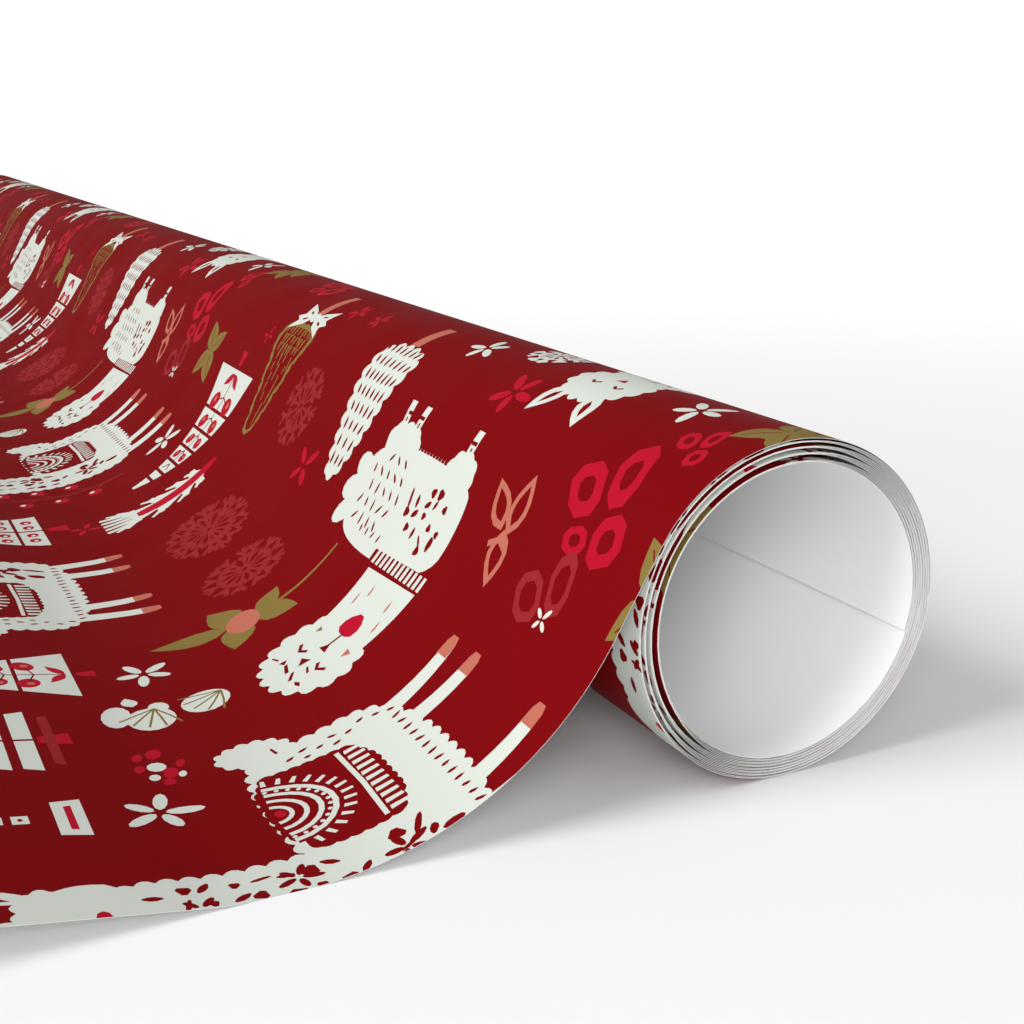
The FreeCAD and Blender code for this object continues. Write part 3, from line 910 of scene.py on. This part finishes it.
def paper_material(name, colour, rough, gloss, grain, sheen):
    """Ink on smooth paper: fibres run round the roll and show as a fine grain and an uneven satin."""
    mat = bpy.data.materials.new(name)
    mat.use_nodes = True
    nt = mat.node_tree
    bsdf = nt.nodes["Principled BSDF"]
    bsdf.inputs["Base Color"].default_value = colour
    bsdf.inputs["Specular IOR Level"].default_value = gloss
    bsdf.inputs["Sheen Roughness"].default_value = SHEEN_ROUGHNESS
    uv = nt.nodes.new("ShaderNodeUVMap")
    uv.uv_map = "paper"

    def noise(scale, across, detail):
        stretch = nt.nodes.new("ShaderNodeMapping")
        stretch.inputs["Scale"].default_value = (scale * across, scale, scale)
        nt.links.new(uv.outputs["UV"], stretch.inputs["Vector"])
        node = nt.nodes.new("ShaderNodeTexNoise")
        node.inputs["Scale"].default_value = 1.0
        node.inputs["Detail"].default_value = detail
        nt.links.new(stretch.outputs["Vector"], node.inputs["Vector"])
        return node.outputs["Fac"]

    def spread(value, low, high):
        node = nt.nodes.new("ShaderNodeMapRange")
        node.inputs["From Min"].default_value = NOISE_LOW
        node.inputs["From Max"].default_value = NOISE_HIGH
        node.inputs["To Min"].default_value = low
        node.inputs["To Max"].default_value = high
        nt.links.new(value, node.inputs["Value"])
        return node.outputs["Result"]

    fibre, cloud = noise(FIBRE_SCALE, FIBRE_STRETCH, 4.0), noise(CLOUD_SCALE, 1.0, 3.0)
    nt.links.new(spread(cloud, rough - SMOOTHER, rough + ROUGHER), bsdf.inputs["Roughness"])
    nt.links.new(spread(fibre, 0.0, sheen), bsdf.inputs["Sheen Weight"])
    bump = nt.nodes.new("ShaderNodeBump")
    bump.inputs["Strength"].default_value = grain
    bump.inputs["Distance"].default_value = GRAIN_HEIGHT
    nt.links.new(fibre, bump.inputs["Height"])
    nt.links.new(bump.outputs["Normal"], bsdf.inputs["Normal"])
    return mat


INKS = [
    paper_material("ink_red_ground", srgb(110, 6, 11), 0.52, 0.012, 0.30, 0.004),
    paper_material("ink_white", srgb(193, 198, 190), 0.55, 0.03, 0.35, 0.004),
    paper_material("ink_olive", srgb(120, 102, 52), 0.52, 0.02, 0.30, 0.004),
    paper_material("ink_crimson", srgb(162, 14, 38), 0.52, 0.02, 0.30, 0.004),
    paper_material("ink_terracotta", srgb(170, 98, 81), 0.52, 0.02, 0.30, 0.004),
    paper_material("ink_soft_red", srgb(134, 34, 40), 0.52, 0.012, 0.30, 0.004),
    paper_material("paper_back", srgb(236, 236, 236), 0.62, 0.10, 0.55, 0.04),
    # the cut edge is the paper's own white darkened with painted shade, for the shade that falls between the
    # layers seen at the roll's end
    paper_material("paper_cut_edge", srgb(212, 211, 209), 0.80, 0.05, 0.80, 0.04),
]


# ---- the roll ----
def turn(n):
    return "turn_%02d" % n


def roll_paper(name, t0, t1, step, full, nodes):
    """The paper wound between two winding travels, t0 being the one nearer the outside."""
    return paper(name, wound(t1), wound(t0), step, full, nodes)


# Each turn rides on its own body; the paper where it passes under the roll, from one turn to the next, is
# kept apart and rides on no body.
BEND_IN, BEND_OUT = 170.0, 310.0      # winding travels, in degrees, between which the paper passes under
SHEET_SEAM = 5.0                      # winding travel at which the sheet's first piece meets the outer turn
SEEN_END = 360.0 + SHEET_SEAM         # winding travel at which the paper goes in under the sheet
SEEN_STEP, HIDDEN_STEP, SHEET_STEP = 1.0, 2.0, 2.4    # millimetres along the paper between cuts

outer = roll_paper("outer_turn", SHEET_SEAM, BEND_IN, SEEN_STEP, True, [turn(TURNS)])
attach(outer, turn(TURNS))
under = roll_paper("outer_turn_under", BEND_IN, BEND_OUT, SEEN_STEP, True, [turn(TURNS)])
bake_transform(under)
seen = roll_paper("outer_turn_end", BEND_OUT, SEEN_END, SEEN_STEP, True, [turn(TURNS - 1)])
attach(seen, turn(TURNS - 1))
start = SEEN_END
for n in range(TURNS - 1, 0, -1):
    last = n == 1
    end = LAST_TRAVEL if last else BEND_IN + 360.0 * (TURNS + 1 - n)
    level = roll_paper("inner_turn_%02d" % n, start, end, HIDDEN_STEP, False, [turn(n)])
    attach(level, turn(n))
    if not last:
        start = end + BEND_OUT - BEND_IN
        bend = roll_paper("inner_bend_%02d" % n, end, start, HIDDEN_STEP, False, [turn(n)])
        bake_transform(bend)

# ---- the sheet that leaves the roll ----
foot_end = COURSE[RAMP_STRIPS + 3][0]
joins = [(0.0, turn(TURNS), "ramp_1")]
for n in range(1, RAMP_STRIPS + 1):
    joins.append((COURSE[n][0], "ramp_%d" % n, "ramp_%d" % (n + 1)))
joins.append((COURSE[RAMP_STRIPS + 1][0], "ramp_%d" % (RAMP_STRIPS + 1), "foot"))
joins.append((foot_end, "foot", "sheet_1"))
joins.append((foot_end + LONG_STRIP, "sheet_1", "sheet_2"))
tail_start = foot_end + 2 * LONG_STRIP
tail = (FREE_EDGE - tail_start) / TAIL_STRIPS
for n in range(TAIL_STRIPS):
    joins.append((tail_start + n * tail, "sheet_%d" % (n + 2), "sheet_%d" % (n + 3)))

# Each piece lies across a line where two bodies join and is named after both; all but the last ride on no
# body.
# Neighbouring pieces meet half way between these lines.
cuts = [wound(SHEET_SEAM)] + [(a[0] + b[0]) / 2 for a, b in zip(joins, joins[1:])] + [FREE_EDGE - tail / 2]
for k, (_, a, b) in enumerate(joins):
    piece = paper("sheet_%s_to_%s" % (a, b), cuts[k], cuts[k + 1], SHEET_STEP, True, [b])
    spot(cuts[k])
    spot(cuts[k + 1])
    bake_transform(piece)
end_piece = paper("sheet_free_edge", cuts[-1], FREE_EDGE, SHEET_STEP, True, ["sheet_5"])
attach(end_piece, "sheet_5")

# ---- floor, light and camera ----
FLOOR = -AXIS_HEIGHT * MM
FLOOR_HALF, FLOOR_ALBEDO, FLOOR_WHITE = 30.0, 0.80, 1.02
FADE_CENTRE, FADE_START, FADE_END = (-0.03, -0.42, FLOOR), 0.06, 0.60
ROOM_LIGHT, BACKDROP_LIGHT = 0.46, 1.05
WINDOW_DIRECTION, WINDOW_ENERGY, WINDOW_ANGLE = (0.95, -0.04, -0.74), 2.35, 30
FILL_PLACE, FILL_AIM, FILL_SIZE, FILL_POWER = (-0.50, -1.20, 0.34), (-0.01, -0.36, 0), 0.6, 7.8
CAMERA_PLACE, CAMERA_AIM = (-0.10992, -0.52347, 0.0634), (0.4235, 0.8641, -0.2720)
SENSOR_WIDTH, LENS = 36.0, 50.98

mesh = bpy.data.meshes.new("floor")
corners = [(x * FLOOR_HALF, y * FLOOR_HALF, FLOOR) for x, y in ((-1, -1), (1, -1), (1, 1), (-1, 1))]
mesh.from_pydata(corners, [], [(0, 1, 2, 3)])
floor = bpy.data.objects.new("floor", mesh)
bpy.context.scene.collection.objects.link(floor)
floor_mat = bpy.data.materials.new("floor")
floor_mat.use_nodes = True
nt = floor_mat.node_tree
pale = nt.nodes["Principled BSDF"]
pale.inputs["Base Color"].default_value = (FLOOR_ALBEDO, FLOOR_ALBEDO, FLOOR_ALBEDO, 1)
pale.inputs["Roughness"].default_value = 0.7
pale.inputs["Specular IOR Level"].default_value = 0.1
# away from the roll the floor runs out into the white of the studio
where = nt.nodes.new("ShaderNodeNewGeometry")
reach_from = nt.nodes.new("ShaderNodeVectorMath")
reach_from.operation = "DISTANCE"
reach_from.inputs[1].default_value = FADE_CENTRE
nt.links.new(where.outputs["Position"], reach_from.inputs[0])
fade = nt.nodes.new("ShaderNodeMapRange")
fade.interpolation_type = "SMOOTHSTEP"
fade.inputs["From Min"].default_value = FADE_START
fade.inputs["From Max"].default_value = FADE_END
nt.links.new(reach_from.outputs["Value"], fade.inputs["Value"])
white = nt.nodes.new("ShaderNodeEmission")
white.inputs["Strength"].default_value = FLOOR_WHITE
blend_out = nt.nodes.new("ShaderNodeMixShader")
nt.links.new(fade.outputs["Result"], blend_out.inputs["Fac"])
nt.links.new(pale.outputs["BSDF"], blend_out.inputs[1])
nt.links.new(white.outputs["Emission"], blend_out.inputs[2])
nt.links.new(blend_out.outputs["Shader"], nt.nodes["Material Output"].inputs["Surface"])
mesh.materials.append(floor_mat)

world = bpy.data.worlds.new("studio")
bpy.context.scene.world = world
world.use_nodes = True
nt = world.node_tree
sky = nt.nodes["Background"]
sky.inputs["Color"].default_value = (1, 1, 1, 1)
seen_direct = nt.nodes.new("ShaderNodeLightPath")
strength = nt.nodes.new("ShaderNodeMapRange")
strength.inputs["To Min"].default_value = ROOM_LIGHT
strength.inputs["To Max"].default_value = BACKDROP_LIGHT
nt.links.new(seen_direct.outputs["Is Camera Ray"], strength.inputs["Value"])
nt.links.new(strength.outputs["Result"], sky.inputs["Strength"])


def aimed(name, data, direction):
    """An object in the scene whose own -Z axis points along a direction."""
    obj = bpy.data.objects.new(name, data)
    obj.rotation_mode = "QUATERNION"
    obj.rotation_quaternion = direction.to_track_quat("-Z", "Y")
    bpy.context.scene.collection.objects.link(obj)
    return obj


sun = bpy.data.lights.new("window", "SUN")
sun.energy = WINDOW_ENERGY
sun.angle = math.radians(WINDOW_ANGLE)
aimed("window", sun, Vector(WINDOW_DIRECTION))

lamp = bpy.data.lights.new("fill", "AREA")
lamp.shape = "SQUARE"
lamp.size = FILL_SIZE
lamp.energy = FILL_POWER
fill = aimed("fill", lamp, Vector(FILL_AIM) - Vector(FILL_PLACE))
fill.location = FILL_PLACE

camera = aimed("camera", bpy.data.cameras.new("camera"), Vector(CAMERA_AIM))
camera.location = CAMERA_PLACE
camera.data.sensor_width = SENSOR_WIDTH
camera.data.lens = LENS
camera.data.clip_start = 0.01
bpy.context.scene.camera = camera
bpy.context.scene.view_settings.view_transform = "Standard"
